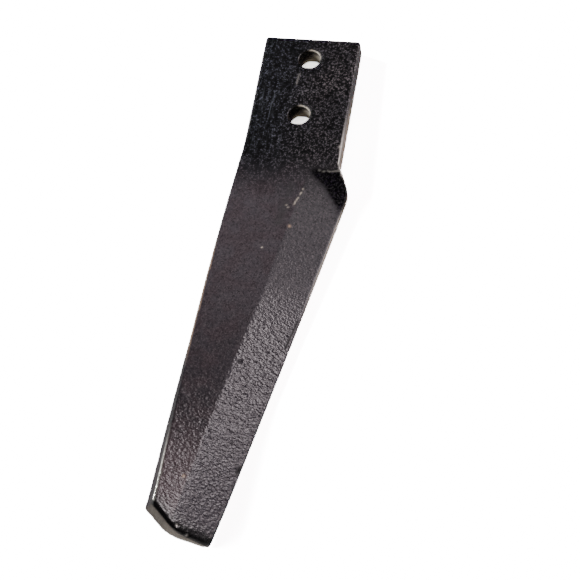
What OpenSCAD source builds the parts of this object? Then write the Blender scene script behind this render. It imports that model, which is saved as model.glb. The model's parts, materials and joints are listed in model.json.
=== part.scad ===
// Power harrow tine, forged from one flat bar.
// The flat shank carries two bolt holes. Below it the blade swings sideways, twists about its
// own length and is drawn out to a thinner cutting wing along one side, with a ridge between
// the full thickness of the bar and the wing. The wing starts at a ramp in the shoulder.
// X runs across the shank, +Y towards its top end, +Z out of its front face.
// The origin lies midway between the bolt holes, on the back face that bolts to the rotor.
// Stations along the tine are measured from its top end, along the untwisted bar.

/* [Shank] */
// Width of the flat bar
shank_w = 60; // [45:0.5:80]
// Thickness of the flat bar
shank_t = 12; // [9:0.5:16]
// Length of bar that stays flat, from the top end
shank_len = 72; // [67:1:90]
// Chamfer along the long edges of the bar
edge_c = 0.8; // [0.4:0.1:1.5]
// Rounding of the two corners at the top end
top_round = 1.6; // [0.5:0.1:4]

/* [Bolt holes] */
// Diameter of each bolt hole
hole_d = 13.5; // [9:0.5:17]
// Distance between the two bolt holes
hole_pitch = 42; // [30:0.5:46]
// From the top end to the centre of the first hole
hole_margin = 15.5; // [12:0.5:19]

/* [Blade outline] */
// Overall length before twisting, from the top end to the tip
total_len = 334.5; // [290:0.5:380]
// Length over which the left edge turns outwards
bend_len = 15; // [2:1:30]
// From the centre line to the left edge at the tip
left_reach = 42.9; // [34:0.1:54]
// How far the left edge bows outwards midway
left_bow = 1.3; // [0:0.1:3]
// From the flat shank's end to the start of the shoulder on the right edge
shoulder_gap = 18.7; // [9:0.1:30]
// From the centre line to the shoulder's corner
shoulder_reach = 37.7; // [33:0.1:42]
// Angle at which the shoulder runs outwards
shoulder_angle = 26; // [18:0.5:40]
// Rounding of the shoulder's corner
shoulder_soft = 1.6; // [0.4:0.1:3]
// From the centre line to the right corner of the tip, negative beyond the line
tip_right = -1.3; // [-8:0.1:6]
// How far the right edge is hollowed midway
right_hollow = 0.6; // [0:0.1:2]

/* [Ridge and wing] */
// From the centre line to the ridge, level with the shoulder's corner
ridge_top = 11; // [4:0.1:16]
// From the centre line to the ridge at the tip, negative beyond the line
ridge_tip = -31.2; // [-36:0.1:-26]
// Rounding of the ridge along its length
ridge_soft = 0.6; // [0.4:0.1:3]
// Rounding of the ridge where it rises out of the shank
ridge_soft_top = 8; // [2:0.5:12]
// Length over which the ridge sharpens below the shank
ridge_rise = 26; // [10:1:60]
// Rounding of the ridge where it fades out at the tip
ridge_soft_tip = 8.5; // [2:0.5:14]
// Length over which the ridge fades out
ridge_fade = 28; // [15:1:70]
// Thickness of the wing's edge below the shoulder
wing_t_top = 4.8; // [3:0.1:7]
// Thickness of the wing's edge at the tip
wing_t_tip = 3.2; // [3:0.1:5]
// From the start of the shoulder to the top of its ramp
ramp_gap = 2.5; // [0.5:0.5:8]
// Slope of the shoulder's ramp
ramp_angle = 17; // [12:0.5:30]
// Rounding between the ramp and the wing
ramp_soft = 0.8; // [0.2:0.1:2]

/* [Twist and tip] */
// From the flat shank's end to the start of the twist
twist_gap = 8; // [0:1:20]
// Twist at the tip
twist_end = 34.5; // [15:0.5:45]
// How late the twist gathers, with 1 for an even twist
twist_power = 1.18; // [1:0.02:1.5]
// Length over which the twist's axis moves from the shank's middle to the blade's
axis_run = 65; // [30:1:120]
// Thickness of the blade at the tip
tip_t = 11.8; // [8:0.1:12]
// Length of the cut-off corner along the blade
corner_len = 10.4; // [6:0.1:14]
// Width of the cut-off corner across the blade
corner_w = 16; // [12:0.1:20]
// Rounding where the cut-off corner meets the end
corner_soft = 4; // [0.5:0.5:8]
// Rounding of the tip's other corner
corner_round = 2.4; // [1:0.1:4]
// Length of the rolled edge at the tip
roll_len = 2.7; // [1.5:0.1:4]
// Depth of the rolled edge at the tip
roll_drop = 1.7; // [0.6:0.1:2]

/* [Hidden] */

// how far each bore's cutter stands out of the bar, and how far the two parts share the bar
cut = 1;
overlap = 1;
top_y = hole_margin + hole_pitch / 2;
loft_start = shank_len - overlap;
twist_start = shank_len + twist_gap;
shoulder_start = shank_len + shoulder_gap;
ramp_start = shoulder_start + ramp_gap;
// the shoulder's corner lies where the two straight lines of the right edge meet
shoulder_peak = shoulder_start + (shoulder_reach - shank_w / 2) / tan(shoulder_angle);
blade_len = total_len - shoulder_peak;
right_slope = (shoulder_reach - tip_right) / blade_len;
ridge_slope = (ridge_top - ridge_tip) / blade_len;
// the sections lie closer together round the shoulder and at the tip
shoulder_zone = 14;
shoulder_end = shoulder_peak + shoulder_zone;
tip_zone = 22;
tip_base = total_len - tip_zone;
// half the width of the strip along the ridge where the points lie closer together
crest = 3;

function mix(a, b, q) = a + (b - a) * q;
function clamp01(q) = max(0, min(1, q));
function ease(q) =
    let (c = clamp01(q))
    c * c * (3 - 2 * c);
// max and min with a rounded corner of size r
function soft_max(a, b, r) = (a + b + sqrt((a - b) * (a - b) + r * r)) / 2;
function soft_min(a, b, r) = (a + b - sqrt((a - b) * (a - b) + r * r)) / 2;
// min that is rounded only where a and b differ by less than r
function near_min(a, b, r) =
    let (d = max(0, r - abs(a - b)))
    min(a, b) - d * d / (4 * r);
// zero up to 0, a parabola up to a, then straight
function bend(d, a) = d <= 0 ? 0 : (d < a ? d * d / (2 * a) : d - a / 2);

// outline of the untwisted blade at station s
function left_x(s) =
    let (q = bend(s - shank_len, bend_len) / bend(total_len - shank_len, bend_len))
    -shank_w / 2 - (left_reach - shank_w / 2) * q - 4 * left_bow * q * (1 - q);

function right_x(s) =
    let (
        out = shank_w / 2 + (s - shoulder_start) * tan(shoulder_angle),
        q = clamp01((s - shoulder_peak) / blade_len),
        down = shoulder_reach - (s - shoulder_peak) * right_slope - 4 * right_hollow * q * (1 - q),
        r = shoulder_soft * ease(2 * (s - shoulder_start) / (shoulder_peak - shoulder_start))
    )
    s <= shoulder_start ? shank_w / 2 : soft_min(out, down, r);

function ridge_x(s) = ridge_top - (s - shoulder_peak) * ridge_slope;

// share of the way from the shoulder to the tip
function way_down(s) = clamp01((s - shoulder_start) / (total_len - shoulder_start));
function spine_t(s) = mix(shank_t, tip_t, way_down(s));
function wing_t(s) = mix(wing_t_top, wing_t_tip, way_down(s));

function ridge_r(s) =
    ridge_soft
    + (ridge_soft_top - ridge_soft) * (1 - ease((s - ramp_start) / ridge_rise))
    + (ridge_soft_tip - ridge_soft) * ease((s - total_len + ridge_fade) / ridge_fade);

// height of the front face above the back face
function front_h(x, s) =
    let (
        t = spine_t(s),
        past_ridge = x - ridge_x(s),
        span = right_x(s) - ridge_x(s),
        fall = soft_max(past_ridge, 0, ridge_r(s)) / soft_max(span, 0, ridge_r(s)),
        wing = t - (t - wing_t(s)) * fall,
        ramp = t - (s - ramp_start) * tan(ramp_angle)
    )
    s <= ramp_start ? t : min(t, soft_max(wing, ramp, ramp_soft * ease((s - ramp_start) / crest)));

function twist_at(s) =
    twist_end * pow(clamp01((s - twist_start) / (total_len - twist_start)), twist_power);
function axis_x(s) = (left_x(s) + right_x(s)) / 2 * ease((s - twist_start) / axis_run);

// a point of the untwisted blade, at height h over its back face, carried to its twisted place
function placed(x, s, h) =
    let (
        a = twist_at(s),
        c = axis_x(s),
        v = h - spine_t(s) / 2
    )
    [
        c + (x - c) * cos(a) + v * sin(a),
        top_y - s,
        shank_t / 2 - (x - c) * sin(a) + v * cos(a)
    ];

// positions across one section, from the left edge to the right one
function across(s) =
    let (
        a = left_x(s),
        b = right_x(s),
        m = ridge_x(s)
    )
    concat(
        [a],
        [for (i = [0 : 3]) mix(a + edge_c, m - crest, i / 4)],
        [for (q = [-1, -0.4, -0.13, 0.13, 0.4, 1]) m + q * crest],
        [for (i = [1 : 7]) mix(m + crest, b - edge_c, i / 7)],
        [b]
    );

// station at which the blade ends, for each position across it
function end_s(x) =
    let (
        a = left_x(total_len),
        b = right_x(total_len),
        cut_corner = total_len - corner_len * (1 - (x - a) / corner_w),
        r = corner_round,
        d = min(r, max(0, x - b + r))
    )
    near_min(total_len, cut_corner, corner_soft) - r + sqrt(r * r - d * d);

// sections along the blade: [station, share of the way to the tip's edge, share of the roll]
sections = concat(
    [for (i = [0 : 5]) [mix(loft_start, shoulder_start, i / 6), 0, 0]],
    [for (i = [0 : 1]) [mix(shoulder_start, ramp_start, i / 2), 0, 0]],
    [for (i = [0 : 16]) [mix(ramp_start, shoulder_end, i / 16), 0, 0]],
    [for (i = [1 : 26]) [mix(shoulder_end, tip_base, i / 26), 0, 0]],
    [for (i = [1 : 4]) [mix(tip_base, total_len - roll_len, i / 4), i / 4, 0]],
    [for (g = [0.35, 0.65, 0.87, 1]) [mix(total_len - roll_len, total_len, g), 1, g]]
);

// the points of one section, along the front face and back along the back face
function section_points(section) =
    let (
        s0 = section[0],
        xs = across(s0),
        last = len(xs) - 1,
        drop = roll_drop * (1 - sqrt(1 - section[2] * section[2])),
        ss = [for (x = xs) s0 + section[1] * (end_s(x) - total_len)],
        front = [
            for (i = [0 : last])
                let (chamfer = i == 0 || i == last ? edge_c : 0)
                placed(xs[i], ss[i], front_h(xs[i], ss[i]) - drop - chamfer)
        ],
        back = [
            for (i = [last : -1 : 0])
                let (chamfer = i == 0 || i == last ? edge_c : 0)
                placed(xs[i], ss[i], chamfer)
        ]
    )
    concat(front, back);

// seen from the front, the shank with its two top corners rounded
module shank_outline() {
    straight_w = shank_w - 2 * top_round;
    translate([-shank_w / 2, top_y - shank_len])
        square([shank_w, shank_len - top_round]);
    translate([-straight_w / 2, top_y - shank_len])
        square([straight_w, shank_len]);
    for (x = [-straight_w / 2, straight_w / 2])
        translate([x, top_y - top_round])
            circle(r = top_round, $fn = 64);
}

// the bar that the shank is cut from, with its long edges chamfered
module bar() {
    half = shank_w / 2;
    translate([0, top_y, 0])
        rotate([90, 0, 0])
            linear_extrude(height = shank_len)
                polygon([
                    [-half, edge_c],
                    [edge_c - half, 0],
                    [half - edge_c, 0],
                    [half, edge_c],
                    [half, shank_t - edge_c],
                    [half - edge_c, shank_t],
                    [edge_c - half, shank_t],
                    [-half, shank_t - edge_c]
                ]);
}

module shank() {
    difference() {
        intersection() {
            bar();
            translate([0, 0, -cut])
                linear_extrude(height = shank_t + 2 * cut)
                    shank_outline();
        }
        for (y = [-hole_pitch / 2, hole_pitch / 2])
            translate([0, y, -cut])
                cylinder(d = hole_d, h = shank_t + 2 * cut, $fn = 64);
    }
}

module blade() {
    points = [for (section = sections) each section_points(section)];
    loop = len(section_points(sections[0]));
    last = len(sections) - 1;
    sides = [
        for (j = [0 : last - 1], i = [0 : loop - 1])
            let (
                a = j * loop + i,
                b = j * loop + (i + 1) % loop,
                c = a + loop,
                d = b + loop
            )
            each [[a, b, d], [a, d, c]]
    ];
    // strips between the front and the back points close the first and the last section
    start_cap = [
        for (i = [0 : loop / 2 - 2])
            let (k = loop - 1 - i)
            each [[i, k, k - 1], [i, k - 1, i + 1]]
    ];
    tip = last * loop;
    tip_cap = [
        for (i = [tip : tip + loop / 2 - 2])
            let (k = 2 * tip + loop - 1 - i)
            each [[i, k - 1, k], [i, i + 1, k - 1]]
    ];
    polyhedron(points = points, faces = concat(sides, start_cap, tip_cap), convexity = 6);
}

module tine() {
    color([0.13, 0.13, 0.14]) {
        shank();
        blade();
    }
}

tine();
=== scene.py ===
import json
import math
from types import SimpleNamespace

import bpy
import numpy as np
from mathutils import Matrix, Vector

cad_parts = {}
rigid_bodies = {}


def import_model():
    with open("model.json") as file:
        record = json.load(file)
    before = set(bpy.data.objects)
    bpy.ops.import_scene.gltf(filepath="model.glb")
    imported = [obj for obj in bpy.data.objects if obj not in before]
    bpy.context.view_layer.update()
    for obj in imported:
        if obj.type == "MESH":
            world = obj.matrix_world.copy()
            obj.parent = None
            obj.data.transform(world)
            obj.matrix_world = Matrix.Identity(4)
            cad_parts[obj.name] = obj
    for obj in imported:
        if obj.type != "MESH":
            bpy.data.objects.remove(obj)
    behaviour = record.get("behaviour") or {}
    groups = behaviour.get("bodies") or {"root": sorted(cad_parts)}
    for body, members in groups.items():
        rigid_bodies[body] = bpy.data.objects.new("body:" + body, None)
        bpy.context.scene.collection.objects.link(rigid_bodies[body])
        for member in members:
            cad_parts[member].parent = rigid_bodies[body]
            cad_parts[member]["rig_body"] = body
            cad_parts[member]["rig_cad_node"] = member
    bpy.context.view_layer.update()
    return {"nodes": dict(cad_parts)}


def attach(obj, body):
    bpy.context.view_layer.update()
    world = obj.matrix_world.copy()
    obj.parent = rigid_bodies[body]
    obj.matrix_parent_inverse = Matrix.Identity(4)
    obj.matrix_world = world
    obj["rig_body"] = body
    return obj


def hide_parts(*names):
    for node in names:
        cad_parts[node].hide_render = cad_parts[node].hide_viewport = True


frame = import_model()

MM = 0.001

# Camera, from the shank's edges and the rims of both holes in the photograph
CAMERA_AT = Vector((0.2200, -0.6682, 0.9577))
CAMERA_AIM = Vector((0.0135, -0.1399, 0.0060))
CAMERA_LEANS = math.radians(13.88)
LENS_MM = 118.4
SENSOR_MM = 36
SEES_AS_FAR_AS = 50

# Softboxes: where each stands, what it faces, its width and height, its watts and its colour
SOFTBOXES = {
    "softbox_right": ((1.5, 0.6, 0.75), (0, -0.12, 0), (1.0, 0.8), 37, "#fff3f6"),
    "softbox_front": ((-1.22, -0.64, 0.76), (0, -0.1, 0), (0.5, 0.4), 14, "#ffffff"),
    "softbox_left": ((-1.40, 0.43, 1.04), (0, -0.28, 0), (0.25, 0.25), 19, "#ffffff"),
}
ROOM_LIGHT = 0.07

# The backdrop paper, its width in metres and what the camera sees of it: the light that it throws
# back, as a multiple of what falls on it, and its own glow
PAPER_WIDTH = 8
PAPER_OVEREXPOSED = 22.0
PAPER_GLOW = 1.2

# The plane on which the tine comes to rest, on its top end's corner and the edge of its wing
REST_POINT = Vector((-0.0290, 0.0364, 0.0))
REST_UP = Vector((0.0149, -0.0330, 0.9993)).normalized()

# The forging's own lines, in millimetres and its twist in degrees, as the part's source has them
TOP_Y = 36.5
SHANK_LEN = 72
TOTAL_LEN = 334.5
TWIST_FROM = 80
TWIST_END = 34.5
TWIST_POWER = 1.18
AXIS_RUN = 65
SHANK_HALF = 30
SHANK_T = 12
LEFT_REACH = 42.9
PEAK = 106.5
RIDGE_TOP = 11
RIDGE_TIP = -31.2
SHOULDER_REACH = 37.7
TIP_RIGHT = -1.3
CORNER_LEN = 10.4
CORNER_W = 16
HOLE_R = 6.75
HOLE_Y = 21

# How fine the worked skin is, which is about one pixel of the picture, and what is worked into it
SKIN_MM = 0.75
WELD_MM = 0.01
RIM_WEAR_MM = 0.3
KNOCK_DEPTH_MM = 0.6
KNOCK_WIDTH_MM = 1.1
HAMMER_DEPTH_MM = 0.22
HAMMER_MARK_MM = 1.8

# Where the picture shows wear and glints, as places on the tine in millimetres
CHIPS = [(11.1, -73.5, 11.2), (3.1, -85.9, 12.1), (4.4, -87.2, 12.0), (-6.4, -116.6, 12.5)]
TEARS = [((7.5, -84.9, 11.6), (8.2, -82.5, 11.5)), ((8.6, -81.7, 11.4), (9.3, -79.9, 11.4)),
         ((10.1, -77.3, 11.3), (10.5, -76.0, 11.2))]
# The last two nicks, beside the rolled tip end, are also painted glints
NICKS_AND_GLINTS = [(29.1, -42.1, 12.0), (-30.0, -10.0, 12.0), (-35.7, -269.3, 21.9), (-23.1, -294.2, 11.4),
         (-18.1, -297.3, 4.7)]
PITS = [(-6.7, -191.2, 10.0), (0.9, -252.2, -5.6)]
RUST = [(7.2, -99.7, 11.0), (-24.0, -266.9, 15.5)]
SCRATCHES = [((-4.4, 9.5, 12.0), (-5.0, 1.6, 12.0)), ((18.4, -59.2, 10.8), (19.4, -59.3, 10.8)),
             ((21.0, -59.9, 10.7), (21.9, -59.8, 10.7)), ((23.6, -59.2, 10.7), (25.2, -59.6, 10.6)),
             ((26.2, -59.4, 10.6), (31.2, -58.7, 10.7))]
ROLLING_MARKS = [((-13.9, 11.6, 12.0), (-21.2, -30.3, 12.0)), ((-22.6, 7.2, 12.0), (-24.7, -10.4, 12.0)),
                 ((-18.0, -5.4, 12.0), (-17.8, -24.8, 12.0))]
# Each kind's size, as it fades out around its places or beside its lines
CHIP_MM = 0.45
TEAR_MM = 0.4
NICK_MM = 0.6
RUST_MM = 0.8
SCRATCH_MM = 0.4
ROLLING_MARK_MM = 1.2
# Dark patches and pits: where they begin and end, how wide they are and how dark
DARK_MARKS = [((3.6, -72.0, 12.0), (3.0, -78.0, 12.0), 2.0, 0.4),
         ((2.2, -84.0, 12.0), (0.6, -98.0, 12.0), 3.0, 0.5),
         ((-7.1, -191.1, 10.0), (-6.2, -191.3, 10.0), 0.9, 1.0),
         ((0.9, -252.2, -5.6), (1.6, -250.0, -5.6), 2.0, 0.8),
         ((19.9, -155.7, -1.7), (15.2, -174.4, -2.1), 0.6, 0.8),
         ((-30.6, -10.0, 12.0), (-30.0, -12.0, 12.0), 0.8, 0.8)]

# Where each finish lies. In a pair, it is absent at the first number and whole at the second one.
# Down the bar from its top end, in millimetres
BLADE_PAINT = (70, 112)
WING_PAINT = (94, 100)
RAMP = (94, 97)
RAMP_TOP = (93.5, 95.5)
RAMP_STOPS = 125
BARE_SIDE = (30, 66)
SHOULDER_EDGE = (48, 84)
SHOULDER_EDGE_STOPS = (100, 96)
RIGHT_EDGE = (112, 128)
RIGHT_EDGE_STOPS = (190, 165)
# Where the painted highlight on the left edge above the lip lies
HIGHLIT_EDGE = (145, 165)
HIGHLIT_EDGE_STOPS = (240, 215)
POLISHED_LIP = (272, 316)
ROUNDED_LIP = (230, 300)
HAMMERED = (200, 270)
SHANK_SPECKS_STOP = (124, 84)
COLD_SPECKS_STOP = (120, 78)

# Along the tine's own X or Y, in millimetres
WARM_SHANK = (-20, 12)
COLD_SHANK = (8, -14)
STREAKED_SHANK = (0, -20)
WORN_TOP_EDGE = (-2, 12)
LEFT_FACE_PALES_UP = (-240, -120)
LEFT_FACE_PALES_DOWN = (-225, -270)
WING_DARKENS = (-60, -190)

# How the skin faces, as the cosine between its normal and the bar's front, right or tip end
FRONT = (0.0, 0.5)
RAMP_TILT = (0.10, 0.26)
HOLE_WALL = (0.9, 0.7)
SIDEWAYS = (0.6, 0.3)
TIP_END = (0.3, 0.6)
TOP_END = (-0.3, -0.6)
TOP_EDGE = (-0.15, -0.4)
FOOT = (0.4, 0.7)
LEFT = (-0.3, -0.7)
RIGHT = (0.5, 0.7)
BARE_RIGHT = (0.1, 0.4)
MATT_SIDE = (0.3, 0.7)
ROLL = (0.15, 0.4)
EDGE_TURNS_UP = (0.2, 0.35)
EDGE_MEETS_FLAT = (0.98, 0.92)
LIP_TURNS_UP = (0.1, 0.2)
LIP_MEETS_FLAT = (0.999, 0.99)
HAMMERED_FLAT = (0.75, 0.97)
RIM_TURNS_UP = (0.3, 0.6)

# Across the bar, up from its middle, and in from its tip end, in millimetres
RIDGE = (-0.5, 0.5)
BARE_SIDE_TOP = (4.6, 3.8)
FOOT_TOP = (-2.5, -4.5)
FOOT_ACROSS = (-30, -18)
LIP_IS_LEFT_OF = -35
SHOULDER_IS_RIGHT_OF = 25
LIP_FROM_END = (2.0, 4.0)
ROLLED_END = (6.5, 4.6)
ROLLED_END_FADES = (13, 6)

# In the holes: how far out their wall reaches, how deep its painted light reaches and how much higher it
# climbs on the sun side, the painted highlight arc on their rim, and the worn rim
WALL_REACH = 0.3
LIT_FROM = (3, 11)
SUN_CLIMB = 5
ARC_OUT = (0.55, 0.3)
ARC_UP = (10.7, 11.2)
ARC_TURN = (0.55, 0.85)
WORN_RIM = (0.7, 0.0)
WORN_RIM_SIDES = (0.2, 0.8)
# The way from a hole's middle to the middle of its painted highlight arc, in X and in Y
ARC_WAY = (0.6, 0.8)

# The painted shade below the shoulder spreads out by these passes of blurring and this gain, to a ragged edge
RAMP_PASSES = 40
RAMP_GAIN = 1.9
RAMP_RAGGED = 2.0

# How much of each mark, finish, painted light and painted shade shows, where 1 is all of it
SHOWS = {"lit_wall": 0.8, "lit_foot": 0.75, "rubbed_edge": 0.4, "chip": 0.9, "tear": 0.6, "shoulder": 0.5,
         "scratch": 0.3, "left_side": 0.7, "end_shade": 0.4, "highlit_left_edge": 0.5, "rust_and_highlight_at_most": 0.7,
         "rolling_mark": 0.5, "streaks": 0.25, "cold_specks": 0.85, "clouds": 0.5, "pits": 0.55,
         "flecks_and_glints": 0.3, "more_flecks_and_glints_on_wing": 0.15, "flush": 0.3, "least_hammered": 0.1,
         "smooth_where_black": 0.8}

# How grainy the skin is, at places down the bar
LEFT_GRAIN = (80, 105, 200, 235, 265, 300), (0.9, 0.35, 0.35, 0.5, 0.68, 0.72)
WING_GRAIN = (100, 125, 172, 203, 240, 260), (0.50, 0.45, 0.27, 0.68, 0.9, 0.95)

# Grains and dimples of the scale: how wide the specks are drawn, and how deep the bumps are
SPECK_MM = 0.62
GRAIN_DEPTH_MM = 0.45
DIMPLE_DEPTH_MM = 0.9

# The paint's index of refraction, and its own colours, which down the left face also paint in shade
PAINT_IOR = 1.5
PAINT = {"shank_left": "#636672", "shank_right": "#767073", "left_face_top": "#484348",
         "left_face_darkest": "#231f24", "left_face_low": "#4a3d41", "wing_top": "#4e4c4f",
         "wing_low": "#312c34"}
# How rough each finish is, each one over those before it
ROUGH_PAINT = 0.275
ROUGHER_WHERE_CUT = 0.20
ROUGH = {"black": 0.20, "matt": 0.60, "worn": 0.18, "dark_marks": 0.90}
GLOSS_VARIES = 0.05
SHINE = 0.5
RAMP_LESS_SHINY = 0.35


def linear(code):
    """An sRGB hex colour as the linear RGBA that the shaders take."""
    parts = [int(code[i:i + 2], 16) / 255 for i in (1, 3, 5)]
    return [p / 12.92 if p <= 0.04045 else ((p + 0.055) / 1.055) ** 2.4 for p in parts] + [1.0]


def add_node(tree, kind, settings=None, links=None):
    """Adds a shader node, sets its properties or its sockets' values, and links its inputs."""
    node = tree.nodes.new(kind)
    for key, value in (settings or {}).items():
        if isinstance(key, str) and hasattr(node, key):
            setattr(node, key, value)
        else:
            node.inputs[key].default_value = value
    for key, source in (links or {}).items():
        tree.links.new(source, node.inputs[key])
    return node


def only(obj):
    """Makes obj the one that is selected and active."""
    bpy.ops.object.select_all(action="DESELECT")
    obj.select_set(True)
    bpy.context.view_layer.objects.active = obj


def applied(obj, name, kind, **settings):
    """Adds a modifier with its settings and applies it."""
    mod = obj.modifiers.new(name, kind)
    for key, value in settings.items():
        setattr(mod, key, value)
    only(obj)
    bpy.ops.object.modifier_apply(modifier=mod.name)


def step(value, low, high):
    """0 up to low, 1 from high on, and smooth between them. Low may be the greater one."""
    q = np.clip((value - low) / (high - low), 0, 1)
    return q * q * (3 - 2 * q)


def lay(under, over, share):
    """A colour laid over another one, at each point as far as the share says."""
    return under + (over - under) * share[:, None]


def read(mesh, what):
    """A value of each point of the mesh that has three parts, such as co or normal."""
    values = np.zeros(len(mesh.vertices) * 3)
    mesh.vertices.foreach_get(what, values)
    return values.reshape(-1, 3)


def untwist(mesh):
    """Each point's place on the straight bar that the tine was forged from, in millimetres, and
    how its skin faces there."""
    at = read(mesh, "co") / MM
    normal = read(mesh, "normal")
    bar = SimpleNamespace(at=at, along=TOP_Y - at[:, 1], end=-normal[:, 1])
    share = np.clip((bar.along - TWIST_FROM) / (TOTAL_LEN - TWIST_FROM), 0, 1)
    turn = np.radians(TWIST_END * share ** TWIST_POWER)
    down = (bar.along - PEAK) / (TOTAL_LEN - PEAK)
    spread_out = np.clip((bar.along - SHANK_LEN) / (TOTAL_LEN - SHANK_LEN), 0, 1)
    left = -SHANK_HALF - (LEFT_REACH - SHANK_HALF) * spread_out
    right = SHOULDER_REACH + (TIP_RIGHT - SHOULDER_REACH) * np.clip(down, 0, 1)
    axis = (left + right) / 2 * step(bar.along, TWIST_FROM, TWIST_FROM + AXIS_RUN)
    out = at[:, 0] - axis
    above = at[:, 2] - SHANK_T / 2
    bar.across = axis + out * np.cos(turn) - above * np.sin(turn)
    bar.over_middle = out * np.sin(turn) + above * np.cos(turn)
    bar.up = normal[:, 0] * np.sin(turn) + normal[:, 2] * np.cos(turn)
    bar.right = normal[:, 0] * np.cos(turn) - normal[:, 2] * np.sin(turn)
    bar.past_ridge = bar.across - RIDGE_TOP - (RIDGE_TIP - RIDGE_TOP) * down
    cut_corner = TOTAL_LEN - CORNER_LEN * (1 - (bar.across + LEFT_REACH) / CORNER_W)
    bar.to_end = np.minimum(TOTAL_LEN, cut_corner) - bar.along
    bar.from_hole = np.minimum(np.hypot(at[:, 0], at[:, 1] - HOLE_Y), np.hypot(at[:, 0], at[:, 1] + HOLE_Y))
    return bar


def weigh(obj, name, values):
    """A vertex group with these weights, in a hundred steps."""
    group = obj.vertex_groups.new(name=name)
    steps = np.round(np.clip(values, 0, 1) * 100).astype(int)
    for k in range(1, 101):
        where = np.where(steps == k)[0]
        if len(where):
            group.add(where.tolist(), k / 100, "REPLACE")
    return name


def relief(name, size_mm):
    """A procedural relief for a Displace modifier, with features of the given size."""
    texture = bpy.data.textures.new(name, "CLOUDS")
    texture.noise_scale = size_mm * MM
    texture.noise_depth = 1
    return texture


def near(bar, places, size_mm):
    """1 at each of the places on the skin, fading to 0 within about twice the size."""
    return sum(np.exp(-(np.linalg.norm(bar.at - np.array(place), axis=1) / size_mm) ** 2) for place in places)


def along_line(bar, start, end, width_mm):
    """1 on a straight mark between two places, fading to 0 beside it."""
    run = np.array(end) - np.array(start)
    share = np.clip((bar.at - np.array(start)) @ run / (run @ run), 0, 1)
    away = np.linalg.norm(bar.at - np.array(start) - share[:, None] * run, axis=1)
    return np.exp(-(away / width_mm) ** 2)


def blurred(mesh, values, times):
    """The values, blurred over the skin a little further with each pass."""
    ends = np.zeros(len(mesh.edges) * 2, np.int64)
    mesh.edges.foreach_get("vertices", ends)
    a = ends[0::2]
    b = ends[1::2]
    size = len(mesh.vertices)
    neighbours = np.bincount(a, minlength=size) + np.bincount(b, minlength=size)
    for _ in range(times):
        passed = np.bincount(a, values[b], size) + np.bincount(b, values[a], size)
        values = (values + passed / neighbours) / 2
    return values


def skin_colour(bar, wing, blade):
    """The paint's own colour at each point: bluish at the left of the shank, purple brown on the
    blade, and greyer on the wing. Down its left face it also paints in shade, darkest three
    quarters down."""
    paint = {place: np.array(linear(code)[:3]) for place, code in PAINT.items()}
    x = bar.at[:, 0]
    y = bar.at[:, 1]
    shank = lay(paint["shank_left"], paint["shank_right"], step(x, *WARM_SHANK))
    # Painted shade down the left face, darkest three quarters down
    lower = lay(paint["left_face_darkest"], paint["left_face_low"], step(y, *LEFT_FACE_PALES_DOWN))
    left_face = lay(lower, paint["left_face_top"], step(y, *LEFT_FACE_PALES_UP))
    wing_face = lay(paint["wing_top"], paint["wing_low"], step(y, *WING_DARKENS))
    return lay(shank, lay(left_face, wing_face, wing), blade)


def hole_finish(bar):
    """The holes' wall, how far painted light reaches up it, and the painted highlight arc on their
    rim. The light is painted as if the paper lit the holes from behind, more on the sun side, and
    their front is painted black as shade."""
    wall = (bar.from_hole < HOLE_R + WALL_REACH) * step(np.abs(bar.up), *HOLE_WALL)
    hole_y = np.where(bar.at[:, 1] > 0, HOLE_Y, -HOLE_Y)
    away = np.maximum(bar.from_hole, 0.1)
    lit = step(SHANK_T - bar.at[:, 2] + SUN_CLIMB * bar.at[:, 0] / away, *LIT_FROM)
    turn = (ARC_WAY[0] * bar.at[:, 0] + ARC_WAY[1] * (bar.at[:, 1] - hole_y)) / away
    arc = step(bar.from_hole - HOLE_R, *ARC_OUT) * step(bar.at[:, 2], *ARC_UP) * step(turn, *ARC_TURN)
    return wall, lit, arc


def edge_wear(bar):
    """The edges that are polished, rubbed or given a painted highlight: the left lip, the left edge
    above it with its painted highlight, the shoulder, the wing's edge below it, and the top end's."""
    edge = step(bar.up, *EDGE_TURNS_UP) * step(bar.up, *EDGE_MEETS_FLAT)
    left_edge = (bar.right < -0.1) * (bar.across < 0) * edge
    lip = left_edge * (bar.across < LIP_IS_LEFT_OF) * step(bar.along, *POLISHED_LIP)
    lip = lip * step(bar.to_end, *LIP_FROM_END)
    edge_highlight = left_edge * step(bar.along, *HIGHLIT_EDGE) * step(bar.along, *HIGHLIT_EDGE_STOPS)
    shoulder = (bar.right > 0.1) * (bar.across > SHOULDER_IS_RIGHT_OF) * edge
    shoulder = shoulder * step(bar.along, *SHOULDER_EDGE) * step(bar.along, *SHOULDER_EDGE_STOPS)
    right = step(bar.right, *RIGHT) * edge
    right = right * step(bar.along, *RIGHT_EDGE) * step(bar.along, *RIGHT_EDGE_STOPS)
    top = step(bar.end, *TOP_EDGE) * edge * step(bar.at[:, 0], *WORN_TOP_EDGE)
    return lip, edge_highlight, shoulder, right, top


def lines(bar, places, width_mm):
    """1 on each of these straight marks, fading to 0 beside them."""
    return sum(along_line(bar, start, end, width_mm) for start, end in places)


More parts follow.
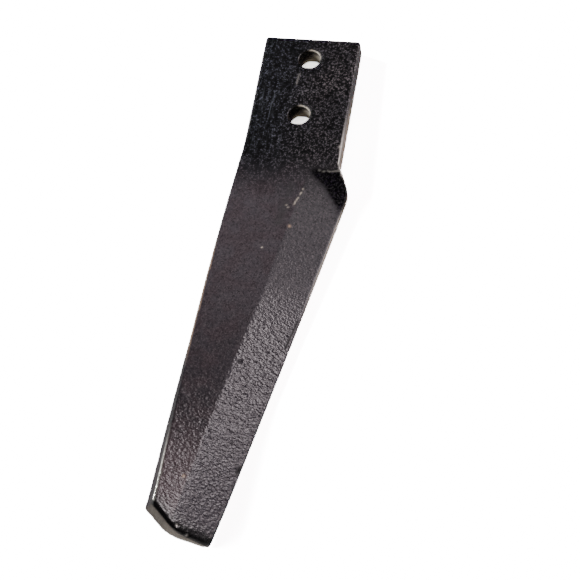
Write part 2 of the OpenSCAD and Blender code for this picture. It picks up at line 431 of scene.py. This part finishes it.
def finishes(mesh):
    """The paint's colour, how rough it is, and where each finish, mark, painted light and painted shade lies,
    point by point.
    """
    bar = untwist(mesh)
    front = step(bar.up, *FRONT)
    blade = step(bar.along, *BLADE_PAINT)
    wing = step(bar.past_ridge, *RIDGE) * front * step(bar.along, *WING_PAINT)
    # Painted shade: the sloping face below the shoulder is painted black, for the dark part of the room that
    # it faces
    shaded_slope = front * step(bar.end, *RAMP_TILT) * step(bar.along, *RAMP) * (bar.along < RAMP_STOPS)
    shaded_slope = np.clip(RAMP_GAIN * blurred(mesh, shaded_slope, RAMP_PASSES), 0, 1) * step(bar.along, *RAMP_TOP)
    wall, lit, arc = hole_finish(bar)
    lip, highlit_left_edge, shoulder, right_edge, top_edge = edge_wear(bar)

    # The sides and ends, where the bar was sheared, the painted shade on the tip end's rolled edge, and the
    # painted light on its lower rim
    sideways = step(np.abs(bar.up), *SIDEWAYS)
    ends = np.maximum(step(bar.end, *TIP_END), step(bar.end, *TOP_END))
    bare_side = step(bar.right, *BARE_RIGHT) * step(bar.over_middle, *BARE_SIDE_TOP)
    bare_side = bare_side * step(bar.along, *BARE_SIDE)
    # Painted light: the lower rim of the tip end's face is painted in a light colour where it catches the
    # light
    lit_foot = step(bar.end, *FOOT) * step(bar.over_middle, *FOOT_TOP) * step(bar.across, *FOOT_ACROSS)
    # Painted shade: the rolled band at the tip end is painted black for the dark that it reflects, with
    # painted shade fading up the face above it
    shade = SHOWS["end_shade"] * step(bar.to_end, *ROLLED_END_FADES)
    rolled_end_shade = np.maximum(step(bar.to_end, *ROLLED_END), shade) * step(bar.up, *ROLL)

    worn = lip + SHOWS["shoulder"] * shoulder + near(bar, NICKS_AND_GLINTS, NICK_MM)
    worn = np.clip(worn + SHOWS["scratch"] * lines(bar, SCRATCHES, SCRATCH_MM), 0, 1)
    # Pale: painted light on the holes' walls and a painted highlight arc on their rims, with the tip end's
    # lower rim, the rubbed edges, the chips and the tears
    pale_wear_and_light = arc + SHOWS["lit_wall"] * wall * lit + SHOWS["lit_foot"] * lit_foot
    pale_wear_and_light = pale_wear_and_light + SHOWS["rubbed_edge"] * (right_edge + top_edge)
    pale_wear_and_light = pale_wear_and_light + SHOWS["chip"] * near(bar, CHIPS, CHIP_MM) + SHOWS["tear"] * lines(bar, TEARS, TEAR_MM)
    # In the holes the bare steel colour is painted light, as far up the wall as the paper would light it
    cut = np.where(wall > 0, wall * lit, sideways * np.maximum(bare_side, ends))
    # Black: the left side's paint, the painted shade of the rolled tip end, and painted shade on the front of
    # the holes' walls
    black = np.maximum(np.maximum(rolled_end_shade, SHOWS["left_side"] * step(bar.right, *LEFT)), wall * (1 - lit))
    # Rusty spots, and the painted highlight along the left edge above the lip
    rust_and_highlight = near(bar, RUST, RUST_MM) + SHOWS["highlit_left_edge"] * highlit_left_edge
    matt = step(np.abs(bar.right), *MATT_SIDE) * (1 - wall)
    dark_marks = sum(dark * along_line(bar, start, end, wide) for start, end, wide, dark in DARK_MARKS)

    rough = ROUGH_PAINT + ROUGHER_WHERE_CUT * cut
    for finish, share in (("black", black), ("matt", matt), ("worn", worn), ("dark_marks", dark_marks)):
        rough = rough + (ROUGH[finish] - rough) * share

    left_grain = np.interp(bar.along, *LEFT_GRAIN)
    wing_grain = np.interp(bar.along, *WING_GRAIN)
    grain = left_grain + (wing_grain - left_grain) * wing
    grain = grain * (1 - SHOWS["smooth_where_black"] * np.maximum(rolled_end_shade, shaded_slope))
    rolled = SHOWS["rolling_mark"] * lines(bar, ROLLING_MARKS, ROLLING_MARK_MM)
    rolled = np.clip(rolled + SHOWS["streaks"] * step(bar.at[:, 0], *STREAKED_SHANK), 0, 1)
    # Light specks on the blade, which also paint the glints of its grain, more of them on the wing where the
    # light falls more
    flecks_and_glints = SHOWS["flecks_and_glints"] + SHOWS["more_flecks_and_glints_on_wing"] * wing
    cold = step(bar.along, *COLD_SPECKS_STOP) * step(bar.at[:, 0], *COLD_SHANK)
    return {
        "skin": skin_colour(bar, wing, blade),
        "rough": rough,
        "shine": SHINE - RAMP_LESS_SHINY * shaded_slope,
        "worn": worn,
        "cut": cut,
        "black": black,
        "shaded_slope": shaded_slope,
        "pale_wear_and_light": np.clip(pale_wear_and_light, 0, 1),
        "rust_and_highlight": np.clip(rust_and_highlight, 0, SHOWS["rust_and_highlight_at_most"]),
        "dark_marks": dark_marks,
        "shank": step(bar.along, *SHANK_SPECKS_STOP),
        "cold": SHOWS["cold_specks"] * cold,
        "cloudy": SHOWS["clouds"] * (1 - blade),
        "blade_pits": SHOWS["pits"] * blade,
        "blade_flecks_and_glints": flecks_and_glints * blade,
        "flush": SHOWS["flush"] * blade * (1 - wing),
        "rolled": rolled * (1 - blade),
        "grain": grain,
        "dimples": grain ** 2 * blade,
    }


def keep(mesh, values):
    """Keeps a value or a colour at each point, under its name, for the material to read."""
    for name, value in values.items():
        if value.ndim == 2:
            attribute = mesh.attributes.new(name, "FLOAT_COLOR", "POINT")
            colours = np.concatenate([value, np.ones((len(value), 1))], axis=1)
            attribute.data.foreach_set("color", colours.astype(np.float32).ravel())
        else:
            attribute = mesh.attributes.new(name, "FLOAT", "POINT")
            attribute.data.foreach_set("value", np.ascontiguousarray(value, np.float32))


def black_paint(kept):
    """Thin black paint on the scale of a forging: dark and half glossy, grainy, bluish on the
    shank and purple brown on the blade, with brown grey steel where the bar was sheared. Its
    colours also paint light and shade: shade below the shoulder, on the rolled tip end and in the
    holes, light in the holes and on the tip end's lower rim, and highlights and glints on edges,
    rims and grain."""
    mat = bpy.data.materials.new("black_paint_on_forged_steel")
    mat.use_nodes = True
    tree = mat.node_tree
    tree.nodes.clear()
    at = add_node(tree, "ShaderNodeTexCoord").outputs["Object"]
    # The hammered skin's dimples are drawn out across the blade, and the rolling marks along it
    across = add_node(tree, "ShaderNodeMapping", {"Scale": (0.6, 1.0, 0.6)}, {"Vector": at}).outputs[0]
    along = add_node(tree, "ShaderNodeMapping", {"Scale": (1.0, 0.03, 1.0)}, {"Vector": at}).outputs[0]

    got = {}
    for name in kept:
        attribute = add_node(tree, "ShaderNodeAttribute", {"attribute_name": name})
        got[name] = attribute.outputs["Color" if name == "skin" else "Fac"]

    # Patterns with their sizes in millimetres
    patterns = {"blotch": (at, 22, 4), "tint": (at, 9, 3), "gloss": (at, 6, 3),
                "ground": (across, 0.8, 1), "hammered": (across, 1.5, 1), "streak": (along, 1.0, 1)}
    for name, (where, size_mm, detail) in patterns.items():
        got[name] = add_node(tree, "ShaderNodeTexNoise", {
            "Scale": 1 / (size_mm * MM), "Detail": detail}, {"Vector": where}).outputs["Fac"]
    # The scale's own specks are finer than a pixel, so they are drawn at 0.62 mm to show
    got["speck"] = add_node(tree, "ShaderNodeTexVoronoi", {
        "Scale": 1 / (SPECK_MM * MM)}, {"Vector": at}).outputs["Color"]

    # The painted shade below the shoulder has a ragged edge
    got["ragged"] = add_node(tree, "ShaderNodeMath", {
        "operation": "MULTIPLY_ADD", 1: RAMP_RAGGED}, {0: got["speck"], 2: got["shaded_slope"]}).outputs[0]

    # From nothing at the pattern's first value to the whole share that is kept at the second
    graded = {"clouds": ("blotch", 0.42, 0.62, "cloudy"), "flushed": ("tint", 0.36, 0.66, "flush"),
              "shank_pits": ("speck", 0.86, 0.60, "shank"), "left_pits": ("speck", 0.95, 0.65, "cold"),
              "pits": ("speck", 0.42, 0.12, "blade_pits"), "flecks_and_glints": ("speck", 0.58, 0.88, "blade_flecks_and_glints"),
              "ramp": ("ragged", 1.40, 1.75, "shaded_slope"), "black_flecks": ("speck", 0.72, 0.90, "shaded_slope"),
              "streaks": ("streak", 0.58, 0.70, "rolled")}
    for name, (pattern, low, high, share) in graded.items():
        got[name] = add_node(tree, "ShaderNodeMapRange", {
            "interpolation_type": "SMOOTHSTEP", 1: low, 2: high}, {0: got[pattern], 4: got[share]}).outputs[0]

    # Each colour lies over those before it
    layers = (("clouds", "#3c3e47"), ("flushed", "#402f33"), ("flecks_and_glints", "#70686b"), ("pits", "#0b090b"),
              ("shank_pits", "#010102"), ("left_pits", "#010102"), ("streaks", "#5b6068"),
              ("cut", "#7f766b"), ("black", "#050406"), ("ramp", "#020103"), ("black_flecks", "#2b2530"),
              ("rust_and_highlight", "#c2a58c"), ("dark_marks", "#0d0b0d"), ("pale_wear_and_light", "#e2d8c8"), ("worn", "#dcd8d0"))
    colour = got["skin"]
    for mask, over in layers:
        colour = add_node(tree, "ShaderNodeMix", {
            "data_type": "RGBA", 7: linear(over)}, {0: got[mask], 6: colour}).outputs[2]

    rough = add_node(tree, "ShaderNodeMath", {
        "operation": "MULTIPLY_ADD", 1: GLOSS_VARIES}, {0: got["gloss"], 2: got["rough"]}).outputs[0]
    fine = add_node(tree, "ShaderNodeBump", {"Distance": GRAIN_DEPTH_MM * MM}, {
        "Height": got["ground"], "Strength": got["grain"]}).outputs[0]
    peel = add_node(tree, "ShaderNodeBump", {"Distance": DIMPLE_DEPTH_MM * MM}, {
        "Height": got["hammered"], "Strength": got["dimples"], "Normal": fine}).outputs[0]
    surface = add_node(tree, "ShaderNodeBsdfPrincipled", {"IOR": PAINT_IOR}, {
        "Base Color": colour, "Roughness": rough, "Metallic": got["worn"], "Normal": peel,
        "Specular IOR Level": got["shine"]})
    add_node(tree, "ShaderNodeOutputMaterial", links={"Surface": surface.outputs[0]})
    return mat


def tine():
    """The forging with its worked skin: rolled edges, polished rims and lip, nicks, and the marks
    of the hammer."""
    node = frame["nodes"]["tine"]
    only(node)
    bpy.ops.object.duplicate()
    piece = bpy.context.active_object
    piece.name = "forged_tine"
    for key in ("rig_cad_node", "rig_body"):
        if key in piece:
            del piece[key]
    only(piece)
    bpy.ops.object.mode_set(mode="EDIT")
    bpy.ops.mesh.select_all(action="SELECT")
    bpy.ops.mesh.remove_doubles(threshold=WELD_MM * MM)
    bpy.ops.object.mode_set(mode="OBJECT")
    applied(piece, "skin", "REMESH", mode="VOXEL", voxel_size=SKIN_MM * MM, use_smooth_shade=True)
    applied(piece, "skin_to_forging", "SHRINKWRAP", target=node)
    applied(piece, "rolled_edges", "SMOOTH", factor=0.5, iterations=3)

    bar = untwist(piece.data)
    left_lip = weigh(piece, "left_lip", (bar.right < -0.05) * (bar.across < 0)
                     * step(bar.up, *LIP_TURNS_UP) * step(bar.up, *LIP_MEETS_FLAT)
                     * step(bar.along, *ROUNDED_LIP))
    applied(piece, "rounded_lip", "SMOOTH", factor=0.5, iterations=6, vertex_group=left_lip)

    bar = untwist(piece.data)
    rims = weigh(piece, "rims", step(bar.from_hole - HOLE_R, *WORN_RIM) * step(bar.up, *RIM_TURNS_UP)
                 * step(np.abs(bar.at[:, 0]) / bar.from_hole, *WORN_RIM_SIDES))
    applied(piece, "worn_rims", "DISPLACE", direction="Z", vertex_group=rims,
            strength=-RIM_WEAR_MM * MM, mid_level=0.0)
    nicks = weigh(piece, "nicks", near(bar, NICKS_AND_GLINTS + PITS, KNOCK_WIDTH_MM))
    applied(piece, "knocks", "DISPLACE", vertex_group=nicks, strength=-KNOCK_DEPTH_MM * MM,
            mid_level=0.0)

    bar = untwist(piece.data)
    least = SHOWS["least_hammered"]
    hammered = weigh(piece, "hammered", step(np.abs(bar.up), *HAMMERED_FLAT)
                     * (least + (1 - least) * step(bar.along, *HAMMERED)))
    applied(piece, "hammer_marks", "DISPLACE", texture=relief("hammer", HAMMER_MARK_MM),
            vertex_group=hammered, strength=-HAMMER_DEPTH_MM * MM, mid_level=0.0)

    kept = finishes(piece.data)
    keep(piece.data, kept)
    only(piece)
    bpy.ops.object.shade_smooth()
    piece.data.materials.clear()
    piece.data.materials.append(black_paint(kept))
    return piece


piece = tine()
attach(piece, "root")
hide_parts("tine")


def white_paper():
    """White backdrop paper, overexposed as in a catalogue picture: what the camera sees of it is
    almost white, and what it throws back at the tine is the light of plain paper."""
    mat = bpy.data.materials.new("white_backdrop_paper")
    mat.use_nodes = True
    tree = mat.node_tree
    paper = tree.nodes["Principled BSDF"]
    paper.inputs["Base Color"].default_value = linear("#e8e8e8")
    paper.inputs["Roughness"].default_value = 0.9
    seen = add_node(tree, "ShaderNodeBsdfDiffuse", {
        "Color": (PAPER_OVEREXPOSED, PAPER_OVEREXPOSED, PAPER_OVEREXPOSED, 1.0)})
    glow = add_node(tree, "ShaderNodeEmission", {"Strength": PAPER_GLOW})
    both = add_node(tree, "ShaderNodeAddShader", links={0: seen.outputs[0], 1: glow.outputs[0]})
    camera_sees = add_node(tree, "ShaderNodeLightPath").outputs["Is Camera Ray"]
    blend = add_node(tree, "ShaderNodeMixShader", links={
        0: camera_sees, 1: paper.outputs[0], 2: both.outputs[0]})
    tree.links.new(blend.outputs[0], tree.nodes["Material Output"].inputs["Surface"])
    return mat


def floor():
    """The sheet of paper that the tine rests on."""
    bpy.ops.object.select_all(action="DESELECT")
    bpy.ops.mesh.primitive_plane_add(size=PAPER_WIDTH, location=REST_POINT)
    sheet = bpy.context.active_object
    sheet.name = "floor"
    sheet.rotation_euler = REST_UP.to_track_quat("Z", "Y").to_euler()
    sheet.data.materials.append(white_paper())


def softbox(name, at, aim, size, watts, colour):
    """A rectangular area light that faces its aim."""
    data = bpy.data.lights.new(name, "AREA")
    data.color = linear(colour)[:3]
    data.shape = "RECTANGLE"
    data.size = size[0]
    data.size_y = size[1]
    data.energy = watts
    light = bpy.data.objects.new(name, data)
    light.location = at
    light.rotation_euler = (Vector(aim) - Vector(at)).to_track_quat("-Z", "Y").to_euler()
    bpy.context.scene.collection.objects.link(light)


def studio():
    """The paper, three softboxes and a faint grey room."""
    floor()
    for name, (at, aim, size, watts, colour) in SOFTBOXES.items():
        softbox(name, at, aim, size, watts, colour)
    world = bpy.data.worlds.new("studio")
    bpy.context.scene.world = world
    world.use_nodes = True
    background = world.node_tree.nodes["Background"]
    background.inputs["Color"].default_value = linear("#ffffff")
    background.inputs["Strength"].default_value = ROOM_LIGHT


def camera():
    """The photograph's view."""
    data = bpy.data.cameras.new("camera")
    data.lens = LENS_MM
    data.sensor_width = SENSOR_MM
    data.clip_end = SEES_AS_FAR_AS
    obj = bpy.data.objects.new("camera", data)
    bpy.context.scene.collection.objects.link(obj)
    look = (CAMERA_AIM - CAMERA_AT).to_track_quat("-Z", "Y").to_matrix()
    turn = Matrix.Rotation(-CAMERA_LEANS, 3, "Z")
    obj.matrix_world = Matrix.Translation(CAMERA_AT) @ (look @ turn).to_4x4()
    bpy.context.scene.camera = obj


studio()
camera()
